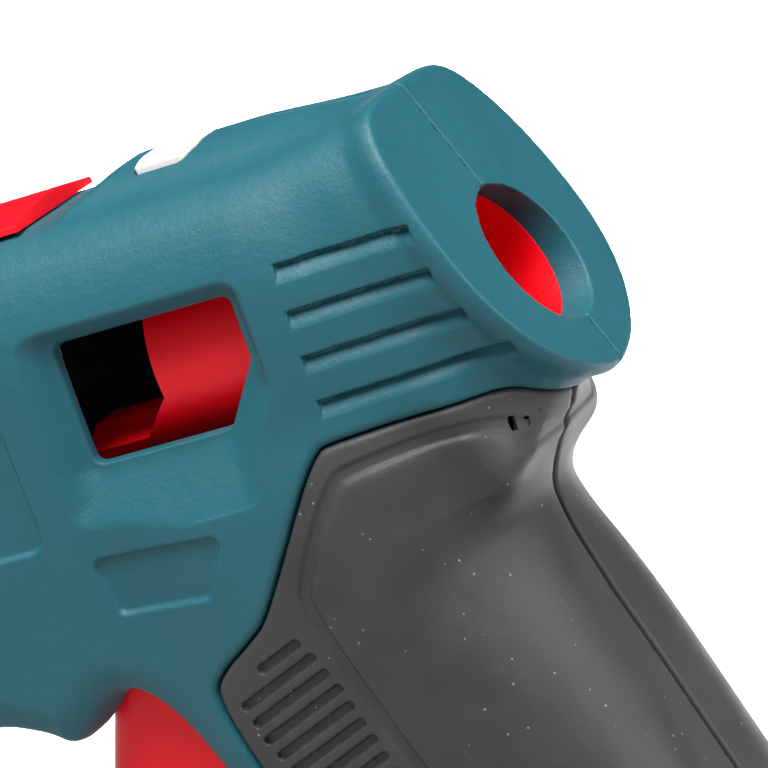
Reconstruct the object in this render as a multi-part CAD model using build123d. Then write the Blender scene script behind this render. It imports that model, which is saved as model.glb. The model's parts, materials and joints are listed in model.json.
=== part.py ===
"""Hand-held hot-melt glue gun, standing nose down on its handle and wire stand.

Every piece is modelled in the barrel's frame, in millimetres: the origin is the centre of the stick
hole on the rear face, +X runs out of the back along the stick, -X to the nozzle, +Y to the right of the
gun and +Z up. The finished pieces are then pitched nose down and moved, so that the whole gun stands
on z = 0 with the middle of its outline at the origin.
"""
from build123d import *
import functools
import math
import os

os.makedirs("parts", exist_ok=True)

# ---- clearances ------------------------------------------------------------------------------------
GAP = 0.3             # between parts that move past each other
FIT = 0.05            # a pin or spigot in its hole
SEAT = 0.1            # an inset piece in its pocket

# ---- stance ----------------------------------------------------------------------------------------
PITCH = 22.0          # nose-down angle of the barrel when the gun stands
BASE_DROP = 114.6     # height of the stick hole above the table

# ---- stick path ------------------------------------------------------------------------------------
STICK_HOLE_R = 6.75   # hole in the rear wall, for 11.2 mm sticks
TUBE_BORE_R = 6.5
TUBE_R = 9.8
TUBE_FRONT = -34.6    # front edge of the full tube
TONGUE_FRONT = -50.0  # front edge of the half shell that carries the drive pins
TONGUE_TOP = -5.2     # upper edges of that half shell
TUBE_LIP_Z = -1.8     # where the tube's upright front edge starts to slant towards the half shell
TUBE_LIP_RUN = 3.6
GUIDE_GAP = 0.4       # round the tube where the housing guides it
GUIDE_FRONT = -60.0

# ---- barrel of the housing -------------------------------------------------------------------------
CAP_SLANT = 20.74     # lean of the rear face
CAP_FLANGE = 2.2      # thickness of the cap's rim, along the barrel
REAR_WALL = 2.6       # thickness of the wall round the stick hole, square to the face
TOP_Z = 18.2
COVE_Y = 7.0          # cove between the crown and the shoulder
COVE_Z = 15.6
BARREL_HALF_W = 15.2
CAP_HALF_W = 13.7
FRONT_X = -112.0
FRONT_HALF_W = 14.6
FRONT_TOP = 15.5
FRONT_BOTTOM = -15.0
BELLY_Z = -26.6       # underside of the barrel in front of the trigger
WALL = 3.2            # barrel wall

# ---- handle ----------------------------------------------------------------------------------------
HANDLE_WALL = 2.2     # plastic wall under the rubber
GRIP_T = 1.6          # rubber thickness
GRIP_FRONT_STRIP = 4.2
GRIP_BASE_STRIP = 12.0
HANDLE_FRONT = (-40.0, -35.0)    # a point on the handle's front edge: x, z
HANDLE_LEAN = 0.242              # rearward run of the handle per unit of drop

# ---- trigger and feed ------------------------------------------------------------------------------
PIVOT_X = -49.0
PIVOT_Z = -20.5
PIN_R = 1.5
PIN_REACH = BARREL_HALF_W - 1.8   # half length of the pin
TRIGGER_HALF_W = 8.5
TRIGGER_WALL = 2.0
TRIGGER_BOTTOM = -82.0
SQUEEZE = 26.0        # degrees of trigger travel
DRIVE_Z = -8.5        # height of the carriage's drive pins
DRIVE_R = 1.6
ARM_T = 2.2
ARM_OVERLAP = 2.4     # how far each arm reaches past its drive pin
HUB_R = 3.8
PIN_SEAT_R = 3.4
ARM_HALF_W = 3.6
JAW_X = -27.0
JAW_Z = -12.6
JAW_HALF_W = 2.6
JAW_PIN_R = 1.0
JAW_LUG_T = 2.0       # thickness of the cheeks that carry the jaw's pin
JAW_LUG_DROP = 2.4    # how far they reach below the pin
HOOK_T = 1.6          # hook of the return spring
HOOK_HALF_W = 1.5
HOOK_DROP = 2.2
SPRING_Z = -18.0      # axis of the return spring
SPRING_FRONT = -34.0
SPRING_REAR = -15.2
SPRING_R = 1.6
SPRING_WIRE_R = 0.3
SPRING_PITCH = 1.1

# ---- hot end ---------------------------------------------------------------------------------------
CHAMBER_R = 8.0
CHAMBER_REAR = -76.0
CHAMBER_FRONT = -144.0
CHAMBER_BORE_R = 5.9
NECK_R = 7.4
NECK_LENGTH = 6.0
SLEEVE_WALL = 1.8
SLEEVE_REAR = -61.0
CRADLE_T = 1.6        # ribs that carry the collar
COLLAR_X = -78.0
COLLAR_T = 2.8
COLLAR_WALL = 3.0
HEATER_LENGTH = 16.0
HEATER_X = -93.0
HEATER_T = 3.0
HEATER_SEAT_RISE = 0.4    # of the heater's seat above the chamber
HEATER_HALF_W = 7.0
CLIP_T = 0.6
THREAD_R = 4.0
NOZZLE_TIP = -187.0
NOZZLE_HEX_R = 6.9
TIP_R = 1.7
TIP_BORE_R = 0.9
BOOT_FRONT = -178.0
BOOT_WALL = 1.6
GUARD_FRONT = -147.0
GUARD_WALL = 1.8
GUARD_AIR = 0.9       # between the nose guard and the chamber
GUARD_NECK_WALL = 1.3

# ---- switch, lamp and board ------------------------------------------------------------------------
KNOB_REAR = -43.4
KNOB_FRONT = -66.0
KNOB_HALF_W = 8.0
KNOB_BASE = 15.9      # underside of the knob
KNOB_EDGE = 0.6       # height of its upright sides
KNOB_RIDGE = 17.6     # top of its low gable
KNOB_TRAVEL = 4.5
BED_RUN = 2.8         # floor left open behind the knob
BED_RAMP = 5.6        # length of the slope from the floor up to the crown
BED_T = 1.6           # plastic under the floor
LUG_FRONT = -56.0
LUG_REAR = -48.0
LUG_HALF_W = 1.5
SWITCH_FRONT = -61.5
SWITCH_REAR = -46.0
SWITCH_HALF_W = 4.0
LENS_T = 1.5
BOARD_T = 1.2
BOARD_HALF_W = 6.5
BOARD_REAR = -22.0
BOARD_FRONT = -62.0
LED_X = -28.2
LED_R = 1.5
LEAD_R = 0.8
LEAD_Y = 2.4

# ---- window and surface detail ---------------------------------------------------------------------
RECESS = 1.4          # depth of the window's recess
PANEL_DEPTH = 0.5
SMALL_PANEL_DEPTH = 0.4
RIB_TOP = 7.9
RIB_PITCH = 4.2
RIB_COUNT = 4
RIB_HEIGHT = 2.3
SCOOP = 0.9
GROOVE_X = -31.1      # middle of the highest finger groove
GROOVE_Z = -26.3
GROOVE_COUNT = 10
GROOVE_PITCH = 1.7
GROOVE_TILT = 20.0
GROOVE_DEPTH = 0.45

# ---- stand, screws and cord gland ------------------------------------------------------------------
WIRE_R = 1.25
STAND_X = -104.0
STAND_Z = -12.0
STAND_HALF_W = 17.0
STAND_LEAN = 6.0      # degrees that the legs lean rearward from the upright
STAND_PIN_REACH = 4.4 # how far the wire's ends reach in from the legs
SCREW_R = 1.4
SCREW_HEAD_R = 2.7
SCREW_HEAD_H = 1.8
SCREW_SINK = 2.0      # of the heads below the surface
SCREW_LENGTH = 16.0
BOSS_R = 3.1
GLAND_BORE_R = 3.2
GLAND_R = 5.4
GLAND_FLANGE_R = 7.0
GLAND_HEIGHT = 13.0   # of its axis above the table
GLAND_SINK = 0.8      # of its flange into the handle
GLAND_PROUD = 3.4

# ---- worked out from the above ---------------------------------------------------------------------
SLANT = math.radians(CAP_SLANT)
BIG = 400.0
ARM_LENGTH = DRIVE_Z - PIVOT_Z
DRIVE_X = PIVOT_X + ARM_LENGTH * math.tan(math.radians(SQUEEZE / 2))
FEED_TRAVEL = 2 * (DRIVE_X - PIVOT_X)
BOARD_Z = TUBE_R + 0.5
SLOT_HALF_W = TRIGGER_HALF_W + GAP
ARM_INNER = math.sqrt(TUBE_R ** 2 - (DRIVE_Z + ARM_OVERLAP) ** 2) + GAP + 0.2
ARM_OUTER = ARM_INNER + ARM_T
HEATER_SEAT_Z = CHAMBER_R + HEATER_SEAT_RISE
SLEEVE_R = NECK_R + SLEEVE_WALL
COLLAR_R = CHAMBER_R + COLLAR_WALL
GUARD_BORE_R = CHAMBER_R + GUARD_AIR
GUARD_NECK_R = GUARD_BORE_R + GUARD_NECK_WALL
CAP_FACE = Plane(origin=(0, 0, 0), x_dir=(0, 1, 0), z_dir=(math.cos(SLANT), 0, math.sin(SLANT)))

# Screws run along Y: x and z of each, in the barrel's frame.
SCREW_PLACES = [(-12.0, -16.0), (-72.0, -19.0), (-93.0, -14.0), (-9.0, -36.0), (6.0, -90.0), (-6.0, -112.0)]


# ---- drawing helpers -------------------------------------------------------------------------------
def outline(corners):
    """Closed face in XY through corners (x, y, r), each rounded to its own radius r."""
    edges = []
    starts = []
    ends = []
    count = len(corners)
    for i, (x, y, r) in enumerate(corners):
        here = Vector(x, y)
        back = (Vector(*corners[i - 1][:2]) - here).normalized()
        on = (Vector(*corners[(i + 1) % count][:2]) - here).normalized()
        half = math.radians(back.get_angle(on)) / 2
        reach = r / math.tan(half)
        starts.append(here + back * reach)
        ends.append(here + on * reach)
        if r > 0:
            middle = (back + on).normalized()
            centre = here + middle * (r / math.sin(half))
            edges.append(ThreePointArc(starts[-1], centre - middle * r, ends[-1]))
    for i in range(count):
        edges.append(Line(ends[i - 1], starts[i]))
    return make_face(Curve() + edges)


def shrink(face, amount):
    """The same face with its edge moved inwards."""
    if amount == 0:
        return face
    return offset(face, amount=-amount, kind=Kind.INTERSECTION)


def along_y(face, low, high):
    """Side view outline (x, z), extruded from y = low to y = high."""
    return Pos(0, high, 0) * extrude(Plane.XZ * face, amount=high - low)


def rod_y(x, z, radius, low, high):
    """Round bar along Y."""
    return along_y(Pos(x, z) * Circle(radius), low, high)


def rod_x(radius, low, high, y=0.0, z=0.0):
    """Round bar along X."""
    return Pos(low, y, z) * extrude(Plane.YZ * Circle(radius), amount=high - low)


def block(x0, x1, y0, y1, z0, z1):
    """Box between two corners."""
    centre = Pos((x0 + x1) / 2, (y0 + y1) / 2, (z0 + z1) / 2)
    return centre * Box(x1 - x0, y1 - y0, z1 - z0)


def turned(points):
    """Solid of revolution about the barrel's axis, from its half profile (x, radius)."""
    profile = Plane.XZ * make_face(Polyline(*points, close=True))
    return revolve(profile, axis=Axis.X)


def mirrored(shape):
    """The same shape on the other side of the gun."""
    return mirror(shape, about=Plane.XZ)


def standing(shape):
    """From upright axes, with the stick hole's centre as origin, into the barrel's frame."""
    return Rot(0, PITCH, 0) * shape


def behind_cap_plane(depth):
    """Half space in front of a plane parallel to the rear face, this far inside it."""
    solid = CAP_FACE * Pos(0, 0, -depth - BIG / 2) * Box(BIG, BIG, BIG)
    return solid


def one(shape):
    """The largest solid of a result."""
    return max(shape.solids(), key=lambda s: s.volume)


# ---- outer form of the housing ---------------------------------------------------------------------
def barrel_section():
    """Front view of the barrel: round crown between coves, sloping shoulders, upright sides."""
    w = BARREL_HALF_W
    low = BELLY_Z - 12
    right = [(3.6, TOP_Z, 7.0), (COVE_Y, COVE_Z, 1.5), (10.2, COVE_Z - 1.0, 6.0), (w, TOP_Z - 10.2, 5.0),
             (w, low, 0.0)]
    left = [(-y, z, r) for y, z, r in reversed(right)]
    return outline(right + left)


def barrel_side():
    """Side view of the barrel, without the handle."""
    tan = math.tan(SLANT)
    top = TOP_Z
    bottom = -11.6
    return outline([
        (-top * tan - 1.2, top, 0.6),
        (-98.0, top, 18.0),
        (FRONT_X, FRONT_TOP, 1.5),
        (FRONT_X, FRONT_BOTTOM, 2.5),
        (-80.0, BELLY_Z, 20.0),
        (-61.5, BELLY_Z, 8.0),
        (-55.2, BELLY_Z - 3.2, 0.8),
        (-47.8, BELLY_Z + 0.3, 3.0),
        (-38.0, -33.0, 2.0),
        (-12.0, -24.0, 4.0),
        (-4.0, bottom - 1.8, 2.0),
        (-bottom * tan, bottom, 0.6),
    ])


def barrel_plan():
    """Top view of the barrel."""
    w = BARREL_HALF_W
    right = [(14.0, CAP_HALF_W - 1.4, 0.0), (-4.0, CAP_HALF_W - 0.6, 8.0), (-19.0, w, 12.0),
             (-88.0, w, 30.0), (FRONT_X, FRONT_HALF_W, 1.0)]
    left = [(x, -y, r) for x, y, r in reversed(right)]
    return outline(right + left)


def barrel_form(inset=0.0):
    """Outer form of the barrel, moved inwards by inset."""
    section = extrude(Plane.YZ * shrink(barrel_section(), inset), amount=BIG, both=True)
    side = along_y(shrink(barrel_side(), inset), -BIG, BIG)
    plan = extrude(shrink(barrel_plan(), inset), amount=BIG, both=True)
    return section & side & plan


def cap_outline():
    """Outline of the rear face: straight leaning sides and a round bottom about the stick hole."""
    w = CAP_HALF_W
    right = [(10.9, 18.7, 6.5), (w, 3.0, 9.0), (w - 0.4, -2.4, 5.0), (7.4, -12.2, 7.5)]
    left = [(-y, z, r) for y, z, r in reversed(right)]
    return outline(right + left)


def cap_form(inset=0.0):
    """Rim plate of the rear face, a slanted slice of the cap's outline."""
    face = CAP_FACE * shrink(cap_outline(), inset)
    return extrude(face, amount=CAP_FLANGE, dir=(-1, 0, 0))


def handle_front(z):
    """x of the handle's front edge at height z."""
    return HANDLE_FRONT[0] + HANDLE_LEAN * (HANDLE_FRONT[1] - z)


def handle_form(inset=0.0):
    """Outer form of the handle, moved inwards by inset and cut flat at the table."""
    stations = [  # height, extra at the front, depth, half width
        (-11.5, 2.0, 36.5, 12.6),
        (-20.0, 0.0, 37.8, BARREL_HALF_W),
        (-36.0, 0.0, 36.8, 15.8),
        (-62.0, 1.0, 36.8, 15.6),
        (-92.0, 0.6, 37.8, 14.8),
        (-124.0, -1.0, 42.0, 15.6),
        (-150.0, -2.0, 46.0, 16.0),
    ]
    sections = []
    for z, shift, depth, half_w in stations:
        face = RectangleRounded(depth - 2 * inset, 2 * (half_w - inset), min(11.0, half_w - 1) - inset)
        x = handle_front(z) + shift + depth / 2
        sections.append(Pos(x, 0, z) * face)
    whole = loft(sections)
    table = standing(Pos(0, 0, -BASE_DROP + inset + BIG / 2) * Box(BIG, BIG, BIG))
    return whole & table


def full_form(inset=0.0):
    """Outer form of the closed housing."""
    barrel = barrel_form(inset) & behind_cap_plane(CAP_FLANGE * math.cos(SLANT) / 2)
    return barrel + handle_form(inset) + cap_form(inset)


# ---- regions on the outer form ---------------------------------------------------------------------
def grip_region():
    """Side view of the rubber grip's area."""
    strip = GRIP_FRONT_STRIP
    foot = -BASE_DROP + GRIP_BASE_STRIP
    c = math.cos(math.radians(PITCH))
    s = math.sin(math.radians(PITCH))
    low_z = -113.0
    front_x = handle_front(low_z) + strip
    # The lower border is level when the gun stands.
    level = (front_x * s + low_z * c - foot) / c
    front_z = low_z - level
    rear_x = 60.0
    rear_z = front_z - (rear_x - front_x) * s / c
    return outline([
        (rear_x, -14.0, 0.0),
        (7.0, -13.2, 0.0),
        (-0.6, -8.6, 2.0),
        (-18.6, -8.6, 2.5),
        (-30.2, -22.8, 3.0),
        (-37.6, -27.6, 1.5),
        (-35.6, -36.0, 10.0),
        (front_x, front_z, 3.0),
        (rear_x, rear_z, 0.0),
    ])


def window_opening():
    """Side view of the window's opening."""
    return outline([(-41.2, 5.9, 0.6), (-23.2, 5.9, 1.5), (-23.6, -0.6, 1.2), (-27.5, -5.2, 1.2),
                    (-41.2, -5.2, 0.6)])


def window_recess():
    """Bevelled recess round the window on the right side."""
    inner = outline([(-41.9, 6.2, 0.8), (-22.9, 6.2, 1.6), (-23.3, -0.7, 1.4), (-27.6, -5.8, 1.4),
                     (-41.9, -5.8, 0.8)])
    outer = outline([(-44.5, 7.9, 1.6), (-21.1, 8.0, 1.6), (-21.6, -2.1, 1.8), (-27.0, -10.1, 2.4),
                     (-44.5, -10.1, 2.4)])
    floor_y = BARREL_HALF_W - RECESS
    floor = Pos(0, floor_y, 0) * (Plane.XZ * inner)
    mouth = Pos(0, BARREL_HALF_W + 0.5, 0) * (Plane.XZ * outer)
    return loft([floor, mouth], ruled=True)


def panel_outline():
    """Side view of the blank label panel."""
    return outline([(-48.4, 8.0, 2.0), (-92.0, 8.0, 2.0), (-92.0, -11.0, 3.0), (-48.4, -11.0, 3.0)])


def small_panel_outline():
    """Side view of the small sunk trapezoid under the window."""
    return outline([(-44.4, -13.4, 0.6), (-30.7, -13.8, 0.6), (-34.2, -19.0, 0.8), (-43.6, -18.6, 0.8)])


def knob_section(drop=0.0):
    """Front view of the switch knob: a low gable, its roof lowered by drop."""
    eaves = KNOB_BASE + KNOB_EDGE - drop
    return outline([(KNOB_HALF_W, KNOB_BASE, 0.0), (KNOB_HALF_W, eaves, 0.3), (0.0, KNOB_RIDGE - drop, 2.0),
                    (-KNOB_HALF_W, eaves, 0.3), (-KNOB_HALF_W, KNOB_BASE, 0.0)])


def knob_prism(front, rear, drop=0.0):
    """The knob's section drawn out along the barrel."""
    return Pos(front, 0, 0) * extrude(Plane.YZ * knob_section(drop), amount=rear - front)


def knob_bed():
    """Plastic under the knob's floor."""
    floor = KNOB_BASE - GAP
    slab = block(KNOB_FRONT - KNOB_TRAVEL - BED_RAMP, KNOB_REAR + BED_RUN + BED_RAMP, -COVE_Y, COVE_Y,
                 floor - BED_T, floor)
    return slab & barrel_form(1.0)


def lens_plan(grow=0.0):
    """Top view of the indicator lens, with clipped rear corners."""
    return shrink(outline([(-32.4, 4.1, 0.4), (-27.4, 4.1, 0.4), (-26.2, 2.2, 0.4), (-26.2, -2.2, 0.4),
                           (-27.4, -4.1, 0.4), (-32.4, -4.1, 0.4)]), -grow)


# ---- housing halves --------------------------------------------------------------------------------
def cavity():
    """Hollow inside the housing."""
    hollow = barrel_form(WALL) & behind_cap_plane(REAR_WALL)
    hollow = hollow + handle_form(GRIP_T + HANDLE_WALL)
    return hollow + tube_guide()


def tube_guide():
    """Room for the sliding tube."""
    return rod_x(TUBE_R + GUIDE_GAP, GUIDE_FRONT, BIG) & behind_cap_plane(REAR_WALL)


def trigger_slot():
    """Opening between the halves that the trigger passes through."""
    side = outline([(-54.7, -17.0, 0.0), (-54.7, -40.0, 0.0), (-54.7, TRIGGER_BOTTOM - 6, 0.0),
                    (-18.0, TRIGGER_BOTTOM - 6, 0.0), (-26.0, -40.0, 0.0), (-38.0, -17.0, 0.0)])
    hub_room = rod_y(PIVOT_X, PIVOT_Z, HUB_R + GAP + 0.2, -ARM_OUTER - GAP, ARM_OUTER + GAP)
    return along_y(side, -SLOT_HALF_W, SLOT_HALF_W) + hub_room


def cradles():
    """Crosswise ribs on either side of the collar, with a notch for the heater's leads."""
    ribs = Part()
    reach = (COLLAR_T + CRADLE_T) / 2 + FIT
    for x in (COLLAR_X - reach, COLLAR_X + reach):
        slab = block(x - CRADLE_T / 2, x + CRADLE_T / 2, -BIG, BIG, -BIG, BIG)
        ribs = ribs + (barrel_form(WALL - 0.5) & slab)
    ribs = ribs - rod_x(max(CHAMBER_R + 1.8, SLEEVE_R + 0.6), -BIG, BIG)
    return ribs - block(-BIG, BIG, -LEAD_Y - 1.4, LEAD_Y + 1.4, 0, TOP_Z - WALL)


def side_details(form):
    """Cuts and ribs on the right side of the form."""
    skin = form - barrel_form(SCOOP)
    scoop = along_y(outline([(-17.6, 10.2, 2.0), (-3.0, 10.2, 0.0), (4.0, -7.6, 0.0), (-17.6, -7.6, 2.0)]),
                    8.0, BIG) & behind_cap_plane(CAP_FLANGE) & skin
    ribs = []
    for i in range(RIB_COUNT):
        top = RIB_TOP - i * RIB_PITCH
        bar = outline([(-16.9, top, 0.6), (2.0, top, 0.0), (2.0, top - RIB_HEIGHT, 0.0),
                       (-16.9, top - RIB_HEIGHT, 0.6)])
        ribs.append(along_y(bar, 8.0, BIG) & behind_cap_plane(CAP_FLANGE + 1.0 - 0.3 * i))
    for rib in ribs:
        scoop = scoop - rib
    return scoop


def housing_shell():
    """Both halves as one hollow body, before splitting."""
    form = full_form()
    scoop = side_details(form)
    body = form - scoop - mirrored(scoop)
    body = body - cavity() - rod_x(STICK_HOLE_R, -30.0, 30.0)
    grip_pocket = (along_y(grip_region(), -BIG, BIG) & form) - full_form(GRIP_T)
    body = body - grip_pocket
    body = body + cradles() + knob_bed()
    return body - trigger_slot()


def surface_cuts():
    """Window, recess, label panel and small sunk panel on the right side."""
    opening = along_y(window_opening(), 8.0, BIG)
    panel = along_y(panel_outline(), BARREL_HALF_W - PANEL_DEPTH, BIG)
    small_panel = along_y(small_panel_outline(), BARREL_HALF_W - SMALL_PANEL_DEPTH, BIG)
    return opening + window_recess() + panel + small_panel


def top_cuts():
    """Seats of the knob and the lens, and the knob's slot."""
    floor = KNOB_BASE - GAP
    front = KNOB_FRONT - KNOB_TRAVEL - 1.0
    rear = KNOB_REAR + BED_RUN
    roof = TOP_Z + 0.4
    seat = along_y(outline([(rear + BED_RAMP, roof, 0.0), (rear, floor, 3.0), (front, floor, 3.0),
                            (front - BED_RAMP, roof, 0.0)]), -BARREL_HALF_W, BARREL_HALF_W)
    slot = block(LUG_FRONT - KNOB_TRAVEL - GAP, LUG_REAR + GAP, -LUG_HALF_W - GAP, LUG_HALF_W + GAP, 5.0, BIG)
    lens_seat = extrude(lens_plan(), amount=BIG) - barrel_form(LENS_T)
    light_hole = extrude(lens_plan(-1.0), amount=BIG)
    return seat + slot + lens_seat + light_hole


def screw_bosses():
    """Posts from side wall to side wall, one round each screw."""
    posts = Part()
    for x, z in SCREW_PLACES:
        posts = posts + rod_y(x, z, BOSS_R, -BARREL_HALF_W, BARREL_HALF_W)
    return posts & (barrel_form(GRIP_T) + handle_form(GRIP_T))


def screw_holes():
    """Clearance and counterbore on the right, blind pilot hole on the left."""
    cuts = Part()
    for x, z in SCREW_PLACES:
        seat = screw_seat(x, z)
        cuts = cuts + rod_y(x, z, SCREW_R + FIT, seat - SCREW_LENGTH - 1.0, BIG)
        cuts = cuts + rod_y(x, z, SCREW_HEAD_R + 0.2, seat, BIG)
    return cuts


@functools.cache
def screw_seat(x, z):
    """y of the shoulder under the screw's head, below the surface at that place."""
    column = rod_y(x, z, SCREW_HEAD_R, 0.0, BIG)
    deepest = [(column & form).bounding_box().max.Y for form in (barrel_form(), handle_form(GRIP_T))
               if (column & form).volume > 0]
    return max(deepest) - SCREW_HEAD_H - SCREW_SINK


def board_ledges():
    """Small bars that carry the circuit board."""
    bars = Part()
    for x in (BOARD_REAR - 3.0, BOARD_FRONT + 3.0):
        bar = block(x - 1.0, x + 1.0, BOARD_HALF_W - 1.0, BARREL_HALF_W, BOARD_Z - 1.2, BOARD_Z - FIT)
        bars = bars + bar + mirrored(bar)
    return bars & barrel_form(WALL - 0.5)


def pin_seats():
    """Bosses on the side walls that hold the trigger's pin."""
    boss = rod_y(PIVOT_X, PIVOT_Z, PIN_SEAT_R, ARM_OUTER + GAP, BARREL_HALF_W - 1.0)
    return boss + mirrored(boss)


def housing_halves():
    """Right and left halves of the housing."""
    body = housing_shell() + pin_seats() + board_ledges()
    body = body + (screw_bosses() - tube_guide())
    cuts = surface_cuts()
    body = body - cuts - mirrored(cuts) - top_cuts()
    body = body - screw_holes()
    body = body - rod_y(PIVOT_X, PIVOT_Z, PIN_R + FIT, -PIN_REACH - FIT, PIN_REACH + FIT)
    body = body - rod_y(STAND_X, STAND_Z, WIRE_R + 0.15, -BIG, BIG)
    body = body - front_hole() - standing(gland_hole())
    right = body & block(-BIG, BIG, 0, BIG, -BIG, BIG)
    left = body & block(-BIG, BIG, -BIG, 0, -BIG, BIG)
    return one(right), one(left)


def front_hole():
    """Opening in the front face for the nose guard's neck."""
    return rod_x(GUARD_NECK_R + SEAT, FRONT_X - 5, FRONT_X + 12)


# ---- grips -----------------------------------------------------------------------------------------
def grips():
    """Right and left rubber grips, with slanting finger grooves."""
    pad = (along_y(shrink(grip_region(), SEAT), -BIG, BIG) & full_form()) - full_form(GRIP_T - FIT / 5)
    grooves = Part()
    for i in range(GROOVE_COUNT):
        z = GROOVE_Z - GROOVE_PITCH * i
        x = GROOVE_X + math.tan(math.radians(GROOVE_TILT)) * GROOVE_PITCH * i
        bar = Pos(x, 0, z) * Rot(0, -GROOVE_TILT, 0) * Box(9.0, BIG, 0.8)
        grooves = grooves + bar
    grooves = grooves - full_form(GROOVE_DEPTH)
    pad = pad - grooves
    pad = pad - screw_holes() - standing(gland_hole())
    right = pad & block(-BIG, BIG, FIT / 5, BIG, -BIG, BIG)
    left = pad & block(-BIG, BIG, -BIG, -FIT / 5, -BIG, BIG)
    return one(right), one(left)


# ---- trigger and feed ------------------------------------------------------------------------------
def trigger_profile():
    """Side view of the trigger's blade at rest."""
    bottom = TRIGGER_BOTTOM
    rear = handle_front(bottom) + 1.6
    return outline([
        (-52.4, -21.0, 0.5),
        (-52.9, -28.6, 6.0),
        (-58.6, -42.0, 12.0),
        (-54.6, -62.0, 30.0),
        (-56.0, bottom + 2.5, 4.0),
        (-50.0, bottom - 2.0, 4.0),
        (rear - 4.0, bottom, 3.0),
        (rear - 2.0, bottom + 8.0, 6.0),
        (handle_front(-40.0) + 1.8, -40.0, 6.0),
        (PIVOT_X + 5.5, -26.0, 3.0),
        (PIVOT_X + 3.8, -21.0, 0.5),
    ])


def trigger():
    """Hollow blade with a hub and two forked arms that drive the carriage."""
    face = trigger_profile()
    blade = along_y(face, -TRIGGER_HALF_W, TRIGGER_HALF_W)
    front_edges = blade.edges().filter_by(lambda e: e.center().X < -50.5 and abs(e.center().Y) > 8)
    front_edges = front_edges.filter_by(lambda e: e.center().Z < -24)
    blade = fillet(front_edges, 3.0)
    hollow = along_y(Pos(TRIGGER_WALL + 1.6, 0) * face, -TRIGGER_HALF_W + TRIGGER_WALL,
                     TRIGGER_HALF_W - TRIGGER_WALL)
    hollow = hollow & block(-BIG, BIG, -BIG, BIG, TRIGGER_BOTTOM + 3.0, PIVOT_Z - 7.0)
    blade = blade - hollow
    hub = rod_y(PIVOT_X, PIVOT_Z, HUB_R, -ARM_OUTER, ARM_OUTER)
    arm = arm_solid()
    body = blade + hub + arm + mirrored(arm)
    body = body - rod_y(PIVOT_X, PIVOT_Z, PIN_R + FIT, -BIG, BIG)
    return one(body)


def arm_solid():
    """Right arm of the trigger, with an open slot for the drive pin."""
    reach = ARM_LENGTH + ARM_OVERLAP
    arm = along_y(outline([(-ARM_HALF_W, 0.0, 0.0), (-ARM_HALF_W, reach, 1.0), (ARM_HALF_W, reach, 1.0),
                           (ARM_HALF_W, 0.0, 0.0)]), ARM_INNER, ARM_OUTER)
    slot = block(-DRIVE_R - 0.2, DRIVE_R + 0.2, 0, BIG, ARM_LENGTH - ARM_OVERLAP, BIG)
    return Pos(PIVOT_X, 0, PIVOT_Z) * Rot(0, SQUEEZE / 2, 0) * (arm - slot)


def trigger_pin():
    """Steel pin of the trigger, held in both housing halves."""
    return rod_y(PIVOT_X, PIVOT_Z, PIN_R, -PIN_REACH, PIN_REACH)


def feed_carriage():
    """Sliding tube round the stick, with a half shell, drive pins, jaw lugs and a spring hook."""
    rear = REAR_WALL + GAP
    tube = rod_x(TUBE_R, TONGUE_FRONT, BIG) & behind_cap_plane(rear)
    roof = TUBE_R + 1.0
    upper = along_y(outline([(TUBE_FRONT, roof, 0.0), (TUBE_FRONT, TUBE_LIP_Z, 0.0),
                             (TUBE_FRONT - TUBE_LIP_RUN, TONGUE_TOP, 0.0), (TONGUE_FRONT - 1, TONGUE_TOP, 0.0),
                             (TONGUE_FRONT - 1, roof, 0.0)]), -roof, roof)
    body = tube - upper
    pins = rod_y(DRIVE_X, DRIVE_Z, DRIVE_R, -ARM_OUTER, ARM_OUTER)
    cheek = JAW_HALF_W + 0.2 + JAW_LUG_T
    lugs = block(JAW_X - 3.2, JAW_X + 3.2, -cheek, cheek, JAW_Z - JAW_LUG_DROP, 1.0 - TUBE_BORE_R)
    body = body + pins + lugs
    body = body - rod_x(TUBE_BORE_R, -BIG, BIG)
    gap = block(JAW_X - 4.4, JAW_X + 4.4, -JAW_HALF_W - 0.2, JAW_HALF_W + 0.2, -BIG, 0)
    body = body - gap - rod_y(JAW_X, JAW_Z, JAW_PIN_R + FIT, -BIG, BIG)
    hook = block(SPRING_FRONT - HOOK_T, SPRING_FRONT, -HOOK_HALF_W, HOOK_HALF_W, SPRING_Z - HOOK_DROP, 0.0)
    hook = hook - rod_x((TUBE_R + TUBE_BORE_R) / 2, -BIG, BIG)
    return one(body + hook)


def clamp_jaw():
    """Toothed lever that bites the stick from below."""
    side = outline([(-2.8, -1.6, 1.0), (2.8, -1.6, 1.0), (2.6, 5.6, 0.0), (1.2, 4.9, 0.0), (0.0, 5.6, 0.0),
                    (-1.2, 4.9, 0.0), (-2.6, 5.6, 0.0)])
    lever = Pos(JAW_X, 0, JAW_Z) * along_y(side, -JAW_HALF_W, JAW_HALF_W)
    return one(lever - rod_y(JAW_X, JAW_Z, JAW_PIN_R + FIT, -BIG, BIG))


def jaw_pin():
    """Pin of the jaw."""
    reach = JAW_HALF_W + 0.2 + JAW_LUG_T
    return rod_y(JAW_X, JAW_Z, JAW_PIN_R, -reach, reach)


def return_spring():
    """Extension spring that draws the carriage back."""
    start = SPRING_FRONT + SPRING_WIRE_R
    length = SPRING_REAR - SPRING_WIRE_R - start
    turns = Helix(pitch=SPRING_PITCH, height=length, radius=SPRING_R)
    section = Plane(origin=turns @ 0, z_dir=turns % 0) * Circle(SPRING_WIRE_R)
    coil = sweep(section, path=turns, is_frenet=True)
    return Pos(start, 0, SPRING_Z) * Rot(0, 90, 0) * coil


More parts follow.
